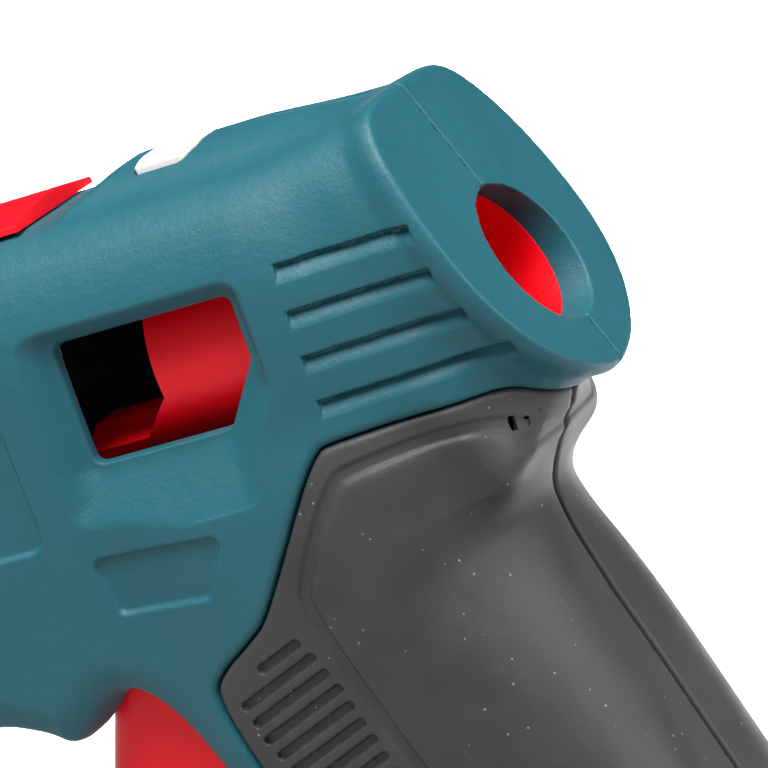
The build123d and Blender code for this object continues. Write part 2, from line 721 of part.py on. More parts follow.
# ---- hot end ---------------------------------------------------------------------------------------
def silicone_sleeve():
    """Funnel sleeve that leads the stick into the melt chamber."""
    neck_end = CHAMBER_REAR + NECK_LENGTH
    return turned([
        (SLEEVE_REAR, SLEEVE_R - SLEEVE_WALL),
        (SLEEVE_REAR, SLEEVE_R),
        (CHAMBER_REAR + FIT, SLEEVE_R),
        (CHAMBER_REAR + FIT, NECK_R + FIT),
        (neck_end + FIT, NECK_R + FIT),
        (neck_end + FIT, 5.8),
        (SLEEVE_REAR - 4.0, 5.8),
    ])


def melt_chamber():
    """Aluminium chamber with a tapering bore and a flat seat for the heater."""
    barrel = turned([
        (CHAMBER_REAR + NECK_LENGTH, CHAMBER_BORE_R),
        (CHAMBER_REAR + NECK_LENGTH, NECK_R),
        (CHAMBER_REAR, NECK_R),
        (CHAMBER_REAR, CHAMBER_R),
        (CHAMBER_FRONT, CHAMBER_R),
        (CHAMBER_FRONT, THREAD_R + FIT),
        (CHAMBER_FRONT + 10.0, THREAD_R + FIT),
        (CHAMBER_FRONT + 10.0, 2.0),
        (CHAMBER_FRONT + 24.0, CHAMBER_BORE_R),
    ])
    half = HEATER_LENGTH / 2 + 2.0
    seat = block(HEATER_X - half, HEATER_X + half, -HEATER_HALF_W, HEATER_HALF_W, 2.0, HEATER_SEAT_Z)
    return one(barrel + (seat - rod_x(CHAMBER_R - 0.5, -BIG, 0)))


def ptc_heater():
    """Flat heating element on the chamber's seat."""
    half = HEATER_LENGTH / 2
    low = HEATER_SEAT_Z
    w = HEATER_HALF_W - 2.5
    return block(HEATER_X - half, HEATER_X + half, -w, w, low, low + HEATER_T)


def heater_clip():
    """Spring clip that presses the heater onto the chamber."""
    half = HEATER_LENGTH / 2 - 3.0
    top = HEATER_SEAT_Z + HEATER_T
    outer = block(HEATER_X - half, HEATER_X + half, -HEATER_HALF_W - SEAT - CLIP_T,
                  HEATER_HALF_W + SEAT + CLIP_T, CHAMBER_R / 2, top + CLIP_T)
    inner = block(HEATER_X - half - 1, HEATER_X + half + 1, -HEATER_HALF_W - SEAT,
                  HEATER_HALF_W + SEAT, 0.0, top)
    return one(outer - inner)


def chamber_collar():
    """Heat-proof ring that holds the chamber off the housing."""
    front = COLLAR_X - COLLAR_T / 2
    rear = COLLAR_X + COLLAR_T / 2
    bore = CHAMBER_R + FIT
    return turned([(front, bore), (front, COLLAR_R), (rear, COLLAR_R), (rear, bore)])


def nozzle_radius(x):
    """Outer radius of the nozzle's cone."""
    root_x = CHAMBER_FRONT - 6.0
    share = (root_x - x) / (root_x - NOZZLE_TIP)
    return 5.4 + (TIP_R - 5.4) * share


def nozzle():
    """Brass nozzle: thread, hexagon and cone, bored through."""
    head_x = CHAMBER_FRONT - 6.0
    cone = turned([
        (CHAMBER_FRONT + 9.0, 0.0),
        (CHAMBER_FRONT + 9.0, THREAD_R),
        (CHAMBER_FRONT, THREAD_R),
        (head_x, 5.4),
        (NOZZLE_TIP, TIP_R),
        (NOZZLE_TIP, 0.0),
    ])
    hexagon = Pos(head_x, 0, 0) * extrude(Plane.YZ * RegularPolygon(NOZZLE_HEX_R, 6), amount=6.0)
    body = cone + hexagon - rod_x(2.0, NOZZLE_TIP + 9.0, BIG) - rod_x(TIP_BORE_R, -BIG, 0)
    return one(body)


def nozzle_boot():
    """Silicone cover over the nozzle, open at its tip."""
    rear = GUARD_FRONT - GAP
    head_x = CHAMBER_FRONT - 6.0
    hex_r = NOZZLE_HEX_R + SEAT
    return turned([
        (rear, hex_r),
        (rear, hex_r + BOOT_WALL + 0.6),
        (head_x - 1.0, hex_r + BOOT_WALL + 0.3),
        (head_x - 7.0, nozzle_radius(head_x - 7.0) + SEAT + BOOT_WALL + 0.6),
        (BOOT_FRONT, nozzle_radius(BOOT_FRONT) + SEAT + BOOT_WALL),
        (BOOT_FRONT, nozzle_radius(BOOT_FRONT) + SEAT),
        (head_x - SEAT, nozzle_radius(head_x) + SEAT),
        (head_x - SEAT, hex_r),
    ])


def nose_guard():
    """Heat-proof nose: neck and flange inside the housing, stepped cone outside."""
    face = FRONT_X - SEAT
    body = turned([
        (face + 8.0, GUARD_BORE_R),
        (face + 8.0, GUARD_NECK_R),
        (face, GUARD_NECK_R),
        (face, GUARD_BORE_R + 5.1),
        (face - 4.0, GUARD_BORE_R + 5.1),
        (face - 6.0, GUARD_BORE_R + 3.9),
        (GUARD_FRONT + 2.0, GUARD_BORE_R + 2.0),
        (GUARD_FRONT, GUARD_BORE_R + 0.7),
        (GUARD_FRONT, NOZZLE_HEX_R + 0.3),
        (GUARD_FRONT + GUARD_WALL, NOZZLE_HEX_R + 0.3),
        (GUARD_FRONT + GUARD_WALL, GUARD_BORE_R),
    ])
    for i in range(3):
        groove_x = face - 10.0 - 6.0 * i
        ring = rod_x(20.0, groove_x - 1.6, groove_x) - rod_x(GUARD_BORE_R + 2.3, groove_x - 2, groove_x + 1)
        body = body - ring
    return one(body)


# ---- switch, lamp and board ------------------------------------------------------------------------
def switch_knob():
    """Sliding cap of the switch: a low gabled bar with grip grooves and a driving lug."""
    plate = knob_prism(KNOB_FRONT, KNOB_REAR)
    middle = (KNOB_REAR + KNOB_FRONT) / 2
    for i in range(5):
        x = middle - 5.0 + 2.5 * i
        bite = block(x - 0.5, x + 0.5, -6.0, 6.0, KNOB_BASE, BIG)
        plate = plate - (bite - knob_prism(x - 2.0, x + 2.0, 0.5))
    lug = block(LUG_FRONT, LUG_REAR, -LUG_HALF_W, LUG_HALF_W, BOARD_Z + BOARD_T + 1.1, KNOB_BASE + 0.5)
    return one(plate + lug)


def switch_body():
    """Slide switch on the board, grooved for the knob's lug."""
    low = BOARD_Z + BOARD_T
    body = block(SWITCH_FRONT, SWITCH_REAR, -SWITCH_HALF_W, SWITCH_HALF_W, low,
                 KNOB_BASE - GAP - BED_T - GAP)
    groove = block(LUG_FRONT - KNOB_TRAVEL - GAP, LUG_REAR + GAP, -LUG_HALF_W - GAP, LUG_HALF_W + GAP,
                   low + 0.8, BIG)
    return one(body - groove)


def indicator_lens():
    """Translucent lens, flush with the barrel's crown."""
    return one((extrude(lens_plan(-SEAT), amount=BIG) & barrel_form()) - barrel_form(LENS_T - FIT))


def status_led():
    """Small lamp under the lens."""
    low = BOARD_Z + BOARD_T
    stem = Pos(LED_X, 0, low) * extrude(Circle(LED_R), amount=2.2)
    dome = Pos(LED_X, 0, low + 2.2) * Sphere(LED_R)
    rim = Pos(LED_X, 0, low) * extrude(Circle(LED_R + 0.3), amount=0.7)
    return one(stem + dome + rim)


def circuit_board():
    """Board that carries the switch and the lamp."""
    board = block(BOARD_FRONT, BOARD_REAR, -BOARD_HALF_W, BOARD_HALF_W, BOARD_Z, BOARD_Z + BOARD_T)
    for x in (BOARD_FRONT + 1.6, BOARD_REAR - 8.5):
        for y in (1.5 - BOARD_HALF_W, BOARD_HALF_W - 1.5):
            board = board - Pos(x, y, BOARD_Z - 1) * Cylinder(0.8, 10)
    return one(board)


def heater_leads():
    """Two wires from the board's front end to the heater."""
    rear_x = BOARD_FRONT
    front_x = HEATER_X + HEATER_LENGTH / 2
    board_z = BOARD_Z + BOARD_T / 2
    heater_z = HEATER_SEAT_Z + HEATER_T / 2
    over_z = TOP_Z - WALL - LEAD_R - 1.4
    wires = []
    for y in (-LEAD_Y, LEAD_Y):
        points = [(rear_x, y, board_z), (rear_x - 5.0, y, board_z), (rear_x - 11.0, y, over_z),
                  (front_x + 6.0, y, over_z), (front_x + 2.0, y, heater_z), (front_x, y, heater_z)]
        path = FilletPolyline(*points, radius=[4.0, 4.0, 2.0, 1.2])
        section = Plane(origin=path @ 0, z_dir=path % 0) * Circle(LEAD_R)
        wires.append(one(sweep(section, path=path)))
    return Compound(wires)


# ---- stand, screws and gland -----------------------------------------------------------------------
def stand_leg_length():
    """Length of the legs, from the pivot to the wire on the table."""
    c = math.cos(math.radians(PITCH))
    s = math.sin(math.radians(PITCH))
    drop = BASE_DROP + STAND_X * s + STAND_Z * c - WIRE_R
    return drop / math.cos(math.radians(STAND_LEAN))


def wire_stand():
    """Bent wire loop whose ends turn in the housing's sides."""
    length = stand_leg_length()
    w = STAND_HALF_W
    end = w - STAND_PIN_REACH
    points = [(0, -end, 0), (0, -w, 0), (0, -w, -length), (0, w, -length), (0, w, 0), (0, end, 0)]
    path = FilletPolyline(*points, radius=[2.0, 9.0, 9.0, 2.0])
    section = Plane(origin=path @ 0, z_dir=path % 0) * Circle(WIRE_R)
    loop = one(sweep(section, path=path))
    return Pos(STAND_X, 0, STAND_Z) * Rot(0, PITCH - STAND_LEAN, 0) * loop


def housing_screws():
    """Pan-head screws, driven in from the right side."""
    screws = []
    for x, z in SCREW_PLACES:
        seat = screw_seat(x, z)
        shank = rod_y(x, z, SCREW_R, seat - SCREW_LENGTH, seat)
        head = rod_y(x, z, SCREW_HEAD_R, seat, seat + SCREW_HEAD_H)
        cross = block(x - 0.4, x + 0.4, seat + 0.9, BIG, z - 1.6, z + 1.6)
        cross = cross + block(x - 1.6, x + 1.6, seat + 0.9, BIG, z - 0.4, z + 0.4)
        screws.append(one(shank + head - cross))
    return Compound(screws)


def gland_x():
    """x of the handle's rear surface at the gland, on upright axes."""
    probe = standing(block(-BIG, BIG, -1, 1, GLAND_HEIGHT - 1 - BASE_DROP, GLAND_HEIGHT + 1 - BASE_DROP))
    cut = Rot(0, -PITCH, 0) * (handle_form(GRIP_T) & probe)
    return cut.bounding_box().max.X


def gland_hole():
    """Round hole in the handle's rear for the gland, on upright axes."""
    x = gland_x()
    hole = rod_x(GLAND_R + SEAT, x - 12.0, x + 20.0, 0, GLAND_HEIGHT - BASE_DROP)
    return hole + rod_x(GLAND_FLANGE_R + SEAT, x - GLAND_SINK, x + 20.0, 0, GLAND_HEIGHT - BASE_DROP)


def cord_gland():
    """Rubber bush that the mains cord passes through."""
    x = gland_x()
    z = GLAND_HEIGHT - BASE_DROP
    body = rod_x(GLAND_R, x - 9.0, x + GLAND_PROUD, 0, z)
    body = body + rod_x(GLAND_FLANGE_R, x - GLAND_SINK, x + GLAND_PROUD, 0, z)
    body = body - rod_x(GLAND_BORE_R, x - 30.0, x + 30.0, 0, z)
    return one(standing(body))


# ---- assembly --------------------------------------------------------------------------------------
def build():
    """All nodes by name, in the barrel's frame."""
    right_housing, left_housing = housing_halves()
    right_grip, left_grip = grips()
    return {
        "left_housing": left_housing,
        "right_housing": right_housing,
        "left_grip": left_grip,
        "right_grip": right_grip,
        "trigger": trigger(),
        "trigger_pin": trigger_pin(),
        "feed_carriage": feed_carriage(),
        "clamp_jaw": clamp_jaw(),
        "jaw_pin": jaw_pin(),
        "return_spring": return_spring(),
        "silicone_sleeve": silicone_sleeve(),
        "melt_chamber": melt_chamber(),
        "ptc_heater": ptc_heater(),
        "heater_clip": heater_clip(),
        "chamber_collar": chamber_collar(),
        "nozzle": nozzle(),
        "nozzle_boot": nozzle_boot(),
        "nose_guard": nose_guard(),
        "switch_knob": switch_knob(),
        "switch_body": switch_body(),
        "indicator_lens": indicator_lens(),
        "status_led": status_led(),
        "circuit_board": circuit_board(),
        "heater_leads": heater_leads(),
        "wire_stand": wire_stand(),
        "housing_screws": housing_screws(),
        "cord_gland": cord_gland(),
    }


def to_stance(nodes):
    """Location that pitches the gun and centres its outline over the origin."""
    pitched = [Rot(0, -PITCH, 0) * shape for shape in nodes.values()]
    box = Compound(pitched).bounding_box()
    return Pos(-(box.min.X + box.max.X) / 2, 0, BASE_DROP) * Rot(0, -PITCH, 0)


nodes = build()
stance = to_stance(nodes)
for name, shape in nodes.items():
    export_step(stance * shape, f"parts/{name}.step")
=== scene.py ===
"""Looks of the hot-melt glue gun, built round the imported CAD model."""
import concurrent.futures
import itertools
import json
import math

import bmesh
import bpy
import numpy as np
from mathutils import Matrix, Vector


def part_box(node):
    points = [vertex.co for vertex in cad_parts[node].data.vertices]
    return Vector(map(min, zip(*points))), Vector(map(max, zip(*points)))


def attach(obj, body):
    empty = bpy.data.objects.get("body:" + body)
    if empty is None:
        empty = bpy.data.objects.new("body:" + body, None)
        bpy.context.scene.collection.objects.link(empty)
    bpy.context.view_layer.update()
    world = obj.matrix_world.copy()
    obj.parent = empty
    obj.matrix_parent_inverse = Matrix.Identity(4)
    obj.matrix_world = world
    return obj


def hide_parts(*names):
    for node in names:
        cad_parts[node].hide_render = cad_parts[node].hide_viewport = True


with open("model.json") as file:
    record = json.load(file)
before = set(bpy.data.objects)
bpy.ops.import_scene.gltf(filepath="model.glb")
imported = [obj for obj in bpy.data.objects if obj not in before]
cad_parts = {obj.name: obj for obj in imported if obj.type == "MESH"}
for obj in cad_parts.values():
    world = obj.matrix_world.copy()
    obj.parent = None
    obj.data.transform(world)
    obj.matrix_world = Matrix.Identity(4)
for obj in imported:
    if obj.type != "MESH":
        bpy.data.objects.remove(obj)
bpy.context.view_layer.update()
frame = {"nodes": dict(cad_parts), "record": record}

# ---- barrel frame ----------------------------------------------------------------------------------
# Shapes are worked out in the barrel's frame, in millimetres: origin at the stick hole's centre on the
# rear face, X out of the back, Y to the right of the gun, Z up, square to the barrel.
MM = 0.001
MOUNTS = {m["name"]: m for m in frame["record"]["mounts"]}
AXIS = Vector(MOUNTS["stick_inlet"]["axis"])
PITCH_C = AXIS.x
PITCH_S = AXIS.z
TO_FACE = 25.3                        # from the mount's middle to the rear face, along the barrel
ORIGIN = Vector(MOUNTS["stick_inlet"]["pos_m"]) + AXIS * TO_FACE * MM
HOLE_R = 6.65

SLANT = math.radians(20.74)           # lean of the rear face
FACE_C = math.cos(SLANT)
FACE_S = math.sin(SLANT)
TOP = 18.2
HALF_W = 15.2
WALL = 3.2
RUBBER = 1.6
FLANGE = 2.2
FRONT = -112.0
RECESS_DEPTH = 2.0
STEP = 0.7          # grid of the moulded skins


def to_row(p):
    """Barrel-frame points in millimetres as row-frame points in metres."""
    x, y, z = p.T
    return np.stack([ORIGIN.x + (x * PITCH_C - z * PITCH_S) * MM, y * MM,
                     ORIGIN.z + (x * PITCH_S + z * PITCH_C) * MM], axis=1)


def turn_to_row(v):
    """Barrel-frame directions in the row frame."""
    x, y, z = v.T
    return np.stack([x * PITCH_C - z * PITCH_S, y, x * PITCH_S + z * PITCH_C], axis=1)


# ---- distance fields -------------------------------------------------------------------------------
def soft_min(a, b, k):
    h = np.maximum(k - np.abs(a - b), 0.0) / k
    return np.minimum(a, b) - h * h * k / 4


def soft_max(a, b, k):
    return -soft_min(-a, -b, k)


def smooth(t):
    t = np.clip(t, 0.0, 1.0)
    return t * t * (3 - 2 * t)


def rounded(points, rounds=2):
    """Corner-cut outline: each round replaces a corner with two nearer ones."""
    p = np.array(points, float)
    for _ in range(rounds):
        q = np.roll(p, -1, axis=0)
        p = np.stack([0.75 * p + 0.25 * q, 0.25 * p + 0.75 * q], axis=1).reshape(-1, 2)
    return p


def corner_rounded(points, radius, steps=5):
    """Outline with each corner replaced by an arc of this radius."""
    p = [Vector(v) for v in points]
    found = []
    for i, here in enumerate(p):
        back = (p[i - 1] - here).normalized()
        on = (p[(i + 1) % len(p)] - here).normalized()
        half = back.angle(on) / 2
        reach = radius / math.tan(half)
        centre = here + (back + on).normalized() * (radius / math.sin(half))
        a = here + back * reach - centre
        b = here + on * reach - centre
        for k in range(steps + 1):
            spoke = a.lerp(b, k / steps).normalized() * radius
            found.append(centre + spoke)
    return np.array([tuple(v) for v in found])


def polygon(u, v, points):
    """Signed distance to a closed outline, negative inside."""
    best = np.full(u.shape, 1e9)
    inside = np.zeros(u.shape, bool)
    for (ax, ay), (bx, by) in zip(points, np.roll(points, -1, axis=0)):
        ex, ey = bx - ax, by - ay
        wu, wv = u - ax, v - ay
        t = np.clip((wu * ex + wv * ey) / (ex * ex + ey * ey), 0.0, 1.0)
        best = np.minimum(best, (wu - ex * t) ** 2 + (wv - ey * t) ** 2)
        crosses = (v >= min(ay, by)) & (v < max(ay, by))
        if ey != 0:
            inside ^= crosses & (u < ax + ex * (v - ay) / ey)
    return np.where(inside, -1.0, 1.0) * np.sqrt(best)


class Outline:
    """Signed distance to a closed outline, looked up in a fine table."""

    def __init__(self, points, low, high, pitch=0.2):
        self.low = low
        self.pitch = pitch
        u = np.arange(low[0], high[0] + pitch, pitch)
        v = np.arange(low[1], high[1] + pitch, pitch)
        self.counts = (len(u), len(v))
        self.table = polygon(*np.meshgrid(u, v, indexing="ij"), points).ravel()

    def __call__(self, u, v):
        a = np.clip((u - self.low[0]) / self.pitch, 0, self.counts[0] - 1.001)
        b = np.clip((v - self.low[1]) / self.pitch, 0, self.counts[1] - 1.001)
        i = a.astype(np.int64)
        j = b.astype(np.int64)
        a -= i
        b -= j
        k = i * self.counts[1] + j
        near = self.table[k] * (1 - b) + self.table[k + 1] * b
        k += self.counts[1]
        far = self.table[k] * (1 - b) + self.table[k + 1] * b
        return near * (1 - a) + far * a


# ---- outlines, in the barrel's frame ---------------------------------------------------------------
def symmetric(points):
    return points + [(-a, b) for a, b in reversed(points) if a > 0]


SECTION = Outline(rounded(symmetric([
    (0.0, 18.3), (2.0, 18.2), (4.4, 17.3), (6.2, 16.0), (7.5, 15.55), (9.6, 15.1), (12.6, 12.7), (14.8, 8.0),
    (15.35, 2.0), (15.2, -12.0), (15.2, -60.0)])), (-1.0, -62.0), (20.0, 26.0))
CAP = Outline(rounded(symmetric([
    (0.0, 18.9), (6.8, 18.9), (9.7, 17.6), (12.1, 14.0), (13.5, 9.0), (13.9, 4.5), (13.6, -0.5), (12.0, -4.7),
    (9.5, -8.0), (5.6, -10.8), (1.6, -12.2), (0.0, -12.3)])), (-1.0, -30.0), (20.0, 28.0))
CAP_BODY = Outline(rounded(symmetric([
    (0.0, 18.9), (6.0, 18.9), (10.6, 17.4), (12.4, 11.5), (13.9, 5.0), (14.1, -1.5), (13.6, -8.0), (13.0, -14.0),
    (12.0, -22.0), (0.0, -22.0)])), (-1.0, -30.0), (20.0, 28.0))
BELLY = Outline(rounded([
    (40.0, 60.0), (-130.0, 60.0), (-130.0, -12.0), (-112.0, -15.0), (-97.0, -21.6), (-84.0, -25.6),
    (-76.0, -26.7), (-62.0, -26.4), (-56.5, -28.4), (-54.4, -30.2), (-51.8, -29.2), (-47.6, -25.8),
    (-44.6, -27.4), (-41.4, -32.6), (-38.6, -40.0), (-24.0, -44.0), (-10.0, -26.0), (-4.6, -16.6), (0.4, -13.7),
    (3.4, -11.6), (6.0, -11.0), (40.0, -10.4)]), (-118.0, -62.0), (36.0, 28.0))
WINDOW = Outline(corner_rounded([
    (-41.3, 5.9), (-23.3, 5.9), (-23.4, 0.2), (-27.5, -5.2), (-41.3, -5.2)], 0.7), (-50.0, -26.0), (-14.0, 14.0))
FLOOR = Outline(corner_rounded([
    (-42.1, 6.3), (-22.6, 6.3), (-22.4, 0.4), (-27.6, -6.1), (-42.1, -6.0)], 0.9), (-50.0, -26.0), (-14.0, 14.0))
RECESS = Outline(corner_rounded([
    (-44.8, 8.1), (-21.0, 8.1), (-21.3, -2.4), (-26.7, -10.3), (-44.8, -10.2)], 1.8), (-50.0, -26.0), (-14.0, 14.0))
PANEL = Outline(corner_rounded([
    (-48.4, 8.0), (-92.0, 8.0), (-92.0, -11.2), (-48.4, -11.2)], 1.6), (-96.0, -18.0), (-44.0, 14.0))
SMALL_PANEL = Outline(corner_rounded([
    (-44.5, -13.3), (-30.5, -13.8), (-33.9, -19.1), (-43.6, -18.7)], 0.8), (-50.0, -26.0), (-14.0, 14.0))
GRIP = Outline(rounded([
    (60.0, -24.0), (9.0, -18.4), (4.0, -16.0), (0.4, -13.8), (-1.3, -11.6), (-2.6, -9.4), (-5.0, -8.8),
    (-17.9, -8.6), (-19.8, -9.2), (-25.0, -16.2), (-29.6, -22.2), (-31.4, -23.5), (-36.4, -26.3), (-37.4, -28.4),
    (-35.7, -35.6), (-28.6, -62.0), (-21.5, -92.0), (-17.5, -107.4), (-14.6, -110.9), (60.0, -139.0)]),
    (-44.0, -142.0), (34.0, 0.0))
GRIP_PANEL = Outline(rounded([
    (60.0, -26.0), (8.0, -20.0), (-1.2, -16.6), (-2.7, -14.8), (-3.2, -12.8), (-5.2, -11.4), (-8.6, -11.0), (-16.6, -11.3),
    (-18.8, -12.0), (-24.3, -19.4), (-25.2, -22.2), (-20.1, -38.7), (-13.0, -70.0), (-6.4, -100.0),
    (-3.4, -106.0), (2.0, -110.5), (60.0, -132.0)]), (-44.0, -142.0), (34.0, 0.0))
TRIGGER_SIDE = Outline(np.array([
    (-54.7, -17.0), (-54.7, -88.0), (-18.0, -88.0), (-26.0, -40.0), (-38.0, -17.0)]), (-60.0, -94.0), (-10.0, -10.0))
LENS_HALF = [(-32.4, 4.1), (-27.4, 4.1), (-26.2, 2.2)]
LENS = Outline(corner_rounded(LENS_HALF + [(a, -b) for a, b in reversed(LENS_HALF)], 0.4, 3),
               (-38.0, -1.0), (-20.0, 10.0), 0.1)


# ---- moulded form of the gun -----------------------------------------------------------------------
HANDLE_Z = np.array([-8.0, -20.0, -36.0, -62.0, -92.0, -124.0, -150.0])
HANDLE_FRONT = np.polyfit(HANDLE_Z, [-45.6, -43.4, -39.8, -32.6, -25.4, -19.4, -15.0], 4)
REAR_Z = [-8.0, -15.0, -19.2, -21.2, -24.7, -28.1, -32.1, -37.8, -49.8, -62.0, -92.0, -124.0, -150.0]
REAR_X = [-5.4, -5.6, -6.1, -6.3, -5.9, -5.1, -4.1, -2.4, 0.9, 4.3, 12.6, 22.6, 30.0]
HANDLE_HALF = np.polyfit(HANDLE_Z, [14.3, 15.1, 15.75, 15.5, 14.9, 15.5, 16.2], 4)


def smooth_line(heights, values):
    """A line through stations, eased so that it has no kinks."""
    fine = np.linspace(heights[-1], heights[0], 400)
    line = np.interp(fine, heights[::-1], values[::-1])
    window = np.hanning(15)
    padded = np.pad(line, 7, mode="reflect", reflect_type="odd")
    return fine, np.convolve(padded, window / window.sum(), mode="valid")


REAR_FINE_Z, REAR_FINE_X = smooth_line(REAR_Z, REAR_X)


def handle_field(x, y, z):
    zc = np.clip(z, -150.0, -8.0)
    front = np.polyval(HANDLE_FRONT, zc)
    rear = np.interp(zc, REAR_FINE_Z, REAR_FINE_X)
    half_w = np.polyval(HANDLE_HALF, zc)
    r = 11.0 + 3.0 * smooth((z + 34.0) / 14.0)
    u = np.abs(x - (front + rear) / 2) - (rear - front) / 2 + r
    v = np.abs(y) - half_w + r
    side = np.hypot(np.maximum(u, 0), np.maximum(v, 0)) + np.minimum(np.maximum(u, v), 0) - r
    table = -(ORIGIN.z / MM + x * PITCH_S + z * PITCH_C)
    d = soft_max(side * 0.975, table, 1.6)
    return soft_max(d, z + 10.0, 6.0)


def face_depth(x, z):
    """Distance in front of the rear face's plane, negative inside the gun."""
    return x * FACE_C + z * FACE_S


def barrel_field(x, y, z):
    ay = np.abs(y)
    narrow = np.clip((-88.0 - x) / 24.0, 0, 1) * 0.6
    mid = SECTION(ay + narrow, z)
    depth = face_depth(x, z)
    cap = CAP_BODY(ay, z / FACE_C) + 0.75
    low = smooth((2.0 - z) / 10.0)
    end = CAP(ay, z / FACE_C * (1 - low) + (z * FACE_C - x * FACE_S) * low) + 0.55
    t = smooth((depth + 11.0) / 6.0)
    cap = cap * (1 - t) + end * t
    t = smooth((x + 22.0) / 17.0)
    section = mid * (1 - t) + cap * t
    d = soft_max(section, BELLY(x, z), 4.5 - 2.5 * smooth((x + 12.0) / 10.0))
    slope = (z - 18.6 - (x + 96.0) * 0.19) / 1.02
    d = soft_max(d, slope, 3.0)
    d = soft_max(d, FRONT - x, 1.6)
    return soft_max(d, depth + 0.5, 0.5)


def flange_field(x, y, z):
    rise = -x * FACE_S + z * FACE_C
    depth = face_depth(x, z)
    slab = np.abs(depth + FLANGE / 2) - FLANGE / 2
    return soft_max(CAP(np.abs(y), rise), slab, 1.5)


def form(p):
    """Outer form of the closed housing, rubber included."""
    x, y, z = p.T
    d = soft_min(barrel_field(x, y, z), handle_field(x, y, z), 5.0 - 3.0 * smooth((x + 16.0) / 8.0))
    d = soft_min(d, flange_field(x, y, z), 1.5)
    return soft_max(d, face_depth(x, z), 0.1)


def carve(d, cut, k):
    return soft_max(d, -cut, k)


def side_features(d, x, y, z):
    """Ribs, window recess and sunk panels, on both sides."""
    ay = np.abs(y)
    skin = d
    for i in range(4):
        top = 7.65 - 4.15 * i
        ramp = 0.95 * (z - top + 1.5) / 1.5
        end = -4.2 + 0.5 * i * i
        cut = np.maximum.reduce([z - top, top - 1.5 - z, -17.4 - 0.1 * i - x, x - end, -skin - ramp, 6.0 - ay])
        d = carve(d, cut, 0.25)
    t = np.clip((ay - HALF_W + RECESS_DEPTH) / RECESS_DEPTH, 0.0, 1.4)
    outline = FLOOR(x, z) * (1 - t) + RECESS(x, z) * t
    d = carve(d, soft_max(outline, HALF_W - RECESS_DEPTH - ay, 0.3), 0.4)
    for region, depth, soft in ((PANEL, 0.5, 0.5), (SMALL_PANEL, 0.5, 0.5)):
        d = carve(d, soft_max(region(x, z), -skin - depth, soft), 0.4)
    opening = WINDOW(x, z) - 0.25 * np.clip(ay - 12.0, 0, 2)
    return carve(d, np.maximum(opening, 9.0 - ay), 0.25)


def knob_bed(x, z):
    """Level floor cut into the crown for the switch knob, with a ramp at each end."""
    rear = (15.6 - z) + 0.42 * np.maximum(x + 40.6, 0.0)
    front = (15.6 - z) + 0.42 * np.maximum(-71.5 - x, 0.0)
    return soft_max(rear, front, 0.4) * 0.92


SCREWS = []


def screw_wells(x, y, z, d):
    for sx, sz in SCREWS:
        d = carve(d, np.maximum(np.hypot(x - sx, z - sz) - 2.9, 3.0 - y), 0.5)
    return d


def gland_well(x, y, z):
    """Round hole for the cord bush, whose axis is level when the gun stands."""
    low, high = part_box("cord_gland")
    up = (ORIGIN.z + (x * PITCH_S + z * PITCH_C) * MM - (low.z + high.z) / 2) / MM
    out = (ORIGIN.x + (x * PITCH_C - z * PITCH_S) * MM - low.x) / MM
    return np.maximum(np.hypot(y, up) - 7.15, -out - 1.0)


def trigger_slot(x, y, z):
    return np.maximum(TRIGGER_SIDE(x, z), np.abs(y) - 8.8)


def shell_field(p, side):
    """One housing half; side is +1 for the right and -1 for the left."""
    x, y, z = p.T
    outer = form(p)
    d = side_features(outer, x, y, z)
    d = carve(d, knob_bed(x, z), 0.5)
    d = carve(d, np.maximum(LENS(x, np.abs(y)), 15.0 - z), 0.25)
    border = GRIP(x, z)
    pocket = soft_max(border, -outer - RUBBER, 0.3)
    d = carve(d, pocket, 1.0)
    d = carve(d, np.maximum(outer + WALL + 0.6 * (z < -30), face_depth(x, z) + 2.6), 0.4)
    d = carve(d, np.hypot(y, z) - HOLE_R, 0.2)
    d = carve(d, trigger_slot(x, y, z), 0.6)
    d = carve(d, gland_well(x, y, z), 0.3)
    d = carve(d, np.maximum(np.hypot(y, z) - 10.4, x - FRONT - 12.0), 0.3)
    if side > 0:
        d = screw_wells(x, y, z, d)
    return soft_max(d, 0.035 - side * y, 0.22)


def grip_field(p, side):
    x, y, z = p.T
    outer = form(p)
    border = GRIP(x, z)
    panel = GRIP_PANEL(x, z)
    d = outer - 0.22 * smooth(-panel / 1.5) + 0.12
    d = carve(d, soft_max(np.abs(panel) - 0.5, -outer - 0.35, 0.3), 0.5)
    for i in range(9):
        z0 = -26.3 - 1.68 * i
        x0 = -31.1 + 0.62 * i
        half = 2.2 if i == 0 else 4.6 - 0.14 * abs(i - 3)
        shift = 1.9 if i == 0 else 0.0
        u = (x - x0 - shift) * 0.94 + (z - z0) * 0.342
        v = -(x - x0) * 0.342 + (z - z0) * 0.94
        d = carve(d, np.maximum(np.hypot(np.maximum(np.abs(u) - half, 0), v) - 0.42, -outer - 0.6), 0.2)
    for i in range(16):
        z0 = -42.3 - 3.6 * i
        x0 = np.polyval(HANDLE_FRONT, z0) + 9.4
        u = (x - x0) * 0.94 + (z - z0) * 0.342
        v = -(x - x0) * 0.342 + (z - z0) * 0.94
        d = carve(d, np.maximum(np.hypot(np.maximum(np.abs(u) - 3.6, 0), v) - 0.5, -outer - 0.6), 0.2)
    d = soft_max(d, border + 0.14, 0.7)
    d = carve(d, outer + RUBBER, 0.1)
    d = carve(d, gland_well(x, y, z), 0.3)
    if side > 0:
        d = screw_wells(x, y, z, d)
    return soft_max(d, 0.3 - side * y, 0.6)


